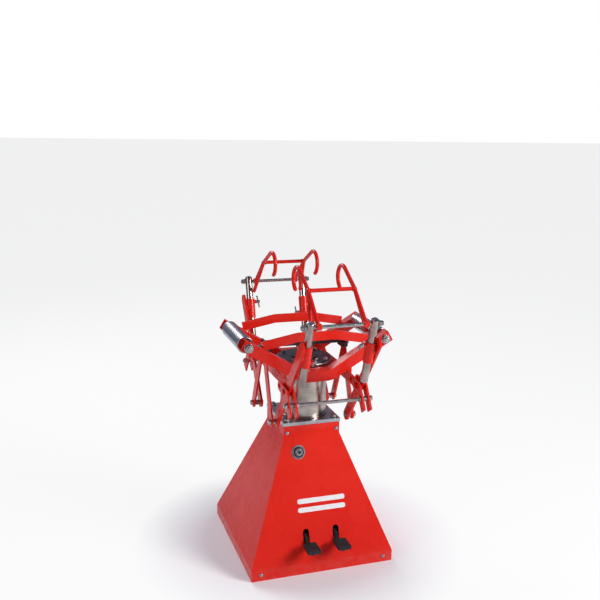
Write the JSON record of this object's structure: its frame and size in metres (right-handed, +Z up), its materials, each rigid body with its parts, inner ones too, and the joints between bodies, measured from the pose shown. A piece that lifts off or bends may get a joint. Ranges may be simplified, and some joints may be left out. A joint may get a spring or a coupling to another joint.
{
  "type": "pneumatic tyre spreader",
  "caption": "Red pyramid pedestal with an upright air cylinder, a roller cradle for a tyre, and levers with hook frames that spread the tyre's beads; foot pedals.",
  "frame": {"origin": "centre of the pedestal's base on the floor", "axes": "+Z up the cylinder, -Y the front with the pedals, +X to the right seen from the front"},
  "size_m": [0.5512, 0.7634, 1.069],
  "materials": {
    "red_paint": "glossy powder coat",
    "zinc_plate": "zinc plated, satin",
    "bright_steel": "bright, satin",
    "roller_steel": "turned, satin",
    "polished_barrel": "honed tube, polished",
    "chromed_rod": "chromed, slightly worn",
    "black_paint": "semi-gloss",
    "cast_aluminium": "machined",
    "spring_steel": "oiled",
    "hose_rubber": "matt",
    "black_rubber": "satin moulded",
    "black_plastic": "satin"
  },
  "bodies": {
    "pedestal": {"floor_frame": "red_paint", "front_panel": "red_paint", "back_panel": "red_paint", "side_panels": "red_paint", "panel_screws": "zinc_plate", "mast_plate": "zinc_plate", "plate_bolts": "bright_steel", "air_inlet": "zinc_plate", "pedal_shaft": "bright_steel", "foot_valves": "black_plastic", "air_hoses": "hose_rubber", "cylinder_tube": "polished_barrel", "saddle_plate": "red_paint", "head_cap": "black_paint", "head_ring": "bright_steel", "head_bolts": "bright_steel", "rod_gland": "black_paint", "front_bow": "red_paint", "rear_bow": "red_paint", "front_arch": "red_paint", "rear_arch": "red_paint", "arm_beams": "red_paint", "lug_plates": "red_paint", "tie_rods": "bright_steel", "lever_pivots": "red_paint", "roller_axles": "bright_steel", "axle_nuts": "bright_steel", "roller_bearings": "black_plastic"},
    "ram": {"piston_rod": "chromed_rod", "piston": "cast_aluminium", "piston_seals": "hose_rubber", "return_spring": "spring_steel", "crosshead": "black_paint", "crosshead_pins": "bright_steel"},
    "front_link_pair": {"front_links": "red_paint"},
    "rear_link_pair": {"rear_links": "red_paint"},
    "front_lever_frame": {"front_levers": "red_paint", "front_foot_pins": "bright_steel"},
    "rear_lever_frame": {"rear_levers": "red_paint", "rear_foot_pins": "bright_steel"},
    "front_height_tubes": {"front_tubes": "chromed_rod", "front_cross_rod": "bright_steel"},
    "rear_height_tubes": {"rear_tubes": "chromed_rod", "rear_cross_rod": "bright_steel"},
    "front_hook_frame": {"front_hooks": "red_paint"},
    "rear_hook_frame": {"rear_hooks": "red_paint"},
    "left_roller_body": {"left_roller": "roller_steel"},
    "right_roller_body": {"right_roller": "roller_steel"},
    "left_pedal": {"left_pedal_arm": "black_paint", "left_pedal_pad": "black_rubber"},
    "right_pedal": {"right_pedal_arm": "black_paint", "right_pedal_pad": "black_rubber"},
    "left_valve_plunger": {"left_plunger": "bright_steel"},
    "right_valve_plunger": {"right_plunger": "bright_steel"},
    "front_left_clamp": {"clamp_front_left": "bright_steel"},
    "front_right_clamp": {"clamp_front_right": "bright_steel"},
    "rear_left_clamp": {"clamp_rear_left": "bright_steel"},
    "rear_right_clamp": {"clamp_rear_right": "bright_steel"}
  },
  "joints": [
    {"name": "ram_lift", "type": "slide", "parent": "pedestal", "child": "ram", "axis": [0, 0, 1], "range_m": [-0.036, 0], "deforming": ["return_spring"]},
    {"name": "front_lever_swing", "type": "hinge", "parent": "pedestal", "child": "front_lever_frame", "pos_m": [0, -0.215, 0.657], "axis": [1, 0, 0], "range_deg": [-12, 0]},
    {"name": "front_link_swing", "type": "hinge", "parent": "ram", "child": "front_link_pair", "pos_m": [0, 0, 0.752], "axis": [1, 0, 0], "range_deg": [-8, 0]},
    {"name": "front_height_slide", "type": "slide", "parent": "front_lever_frame", "child": "front_height_tubes", "axis": [0, -0.3007, 0.9537], "range_m": [-0.02, 0.07]},
    {"name": "front_hook_tilt", "type": "hinge", "parent": "front_height_tubes", "child": "front_hook_frame", "pos_m": [0, -0.36487, 0.913], "axis": [1, 0, 0], "range_deg": [0, 100]},
    {"name": "rear_lever_swing", "type": "hinge", "parent": "pedestal", "child": "rear_lever_frame", "pos_m": [0, 0.215, 0.657], "axis": [1, 0, 0], "range_deg": [0, 12]},
    {"name": "rear_link_swing", "type": "hinge", "parent": "ram", "child": "rear_link_pair", "pos_m": [0, 0, 0.752], "axis": [1, 0, 0], "range_deg": [0, 8]},
    {"name": "rear_height_slide", "type": "slide", "parent": "rear_lever_frame", "child": "rear_height_tubes", "axis": [0, 0.3007, 0.9537], "range_m": [-0.02, 0.07]},
    {"name": "rear_hook_tilt", "type": "hinge", "parent": "rear_height_tubes", "child": "rear_hook_frame", "pos_m": [0, 0.36487, 0.913], "axis": [1, 0, 0], "range_deg": [-100, 0]},
    {"name": "left_roller_spin", "type": "hinge", "parent": "pedestal", "child": "left_roller_body", "pos_m": [-0.247, 0, 0.796], "axis": [0, 1, 0], "continuous": true},
    {"name": "left_pedal_press", "type": "hinge", "parent": "pedestal", "child": "left_pedal", "pos_m": [-0.055, -0.186, 0.136], "axis": [1, 0, 0], "range_deg": [0, 8], "stiffness_Nm_per_rad": 6, "springref_deg": -8.59},
    {"name": "left_valve_stroke", "type": "slide", "parent": "pedestal", "child": "left_valve_plunger", "axis": [0, 0, 1], "range_m": [-0.004, 0]},
    {"name": "right_roller_spin", "type": "hinge", "parent": "pedestal", "child": "right_roller_body", "pos_m": [0.247, 0, 0.796], "axis": [0, 1, 0], "continuous": true},
    {"name": "right_pedal_press", "type": "hinge", "parent": "pedestal", "child": "right_pedal", "pos_m": [0.055, -0.186, 0.136], "axis": [1, 0, 0], "range_deg": [0, 8], "stiffness_Nm_per_rad": 6, "springref_deg": -8.59},
    {"name": "right_valve_stroke", "type": "slide", "parent": "pedestal", "child": "right_valve_plunger", "axis": [0, 0, 1], "range_m": [-0.004, 0]},
    {"name": "front_left_clamp_turn", "type": "hinge", "parent": "front_lever_frame", "child": "front_left_clamp", "pos_m": [-0.09, -0.32546, 0.788], "axis": [1, 0, 0], "range_deg": [-360, 0]},
    {"name": "front_right_clamp_turn", "type": "hinge", "parent": "front_lever_frame", "child": "front_right_clamp", "pos_m": [0.09, -0.34059, 0.836], "axis": [1, 0, 0], "range_deg": [-360, 0]},
    {"name": "rear_left_clamp_turn", "type": "hinge", "parent": "rear_lever_frame", "child": "rear_left_clamp", "pos_m": [-0.09, 0.34059, 0.836], "axis": [1, 0, 0], "range_deg": [-360, 0]},
    {"name": "rear_right_clamp_turn", "type": "hinge", "parent": "rear_lever_frame", "child": "rear_right_clamp", "pos_m": [0.09, 0.32546, 0.788], "axis": [1, 0, 0], "range_deg": [-360, 0]}
  ],
  "couplings": [
    {"joint": "front_lever_swing", "follows": "ram_lift", "rad_per_m": 5.688},
    {"joint": "front_link_swing", "follows": "ram_lift", "rad_per_m": 3.76},
    {"joint": "rear_lever_swing", "follows": "ram_lift", "rad_per_m": -5.688},
    {"joint": "rear_link_swing", "follows": "ram_lift", "rad_per_m": -3.76},
    {"joint": "left_valve_stroke", "follows": "left_pedal_press", "m_per_rad": -0.026},
    {"joint": "right_valve_stroke", "follows": "right_pedal_press", "m_per_rad": -0.026}
  ]
}
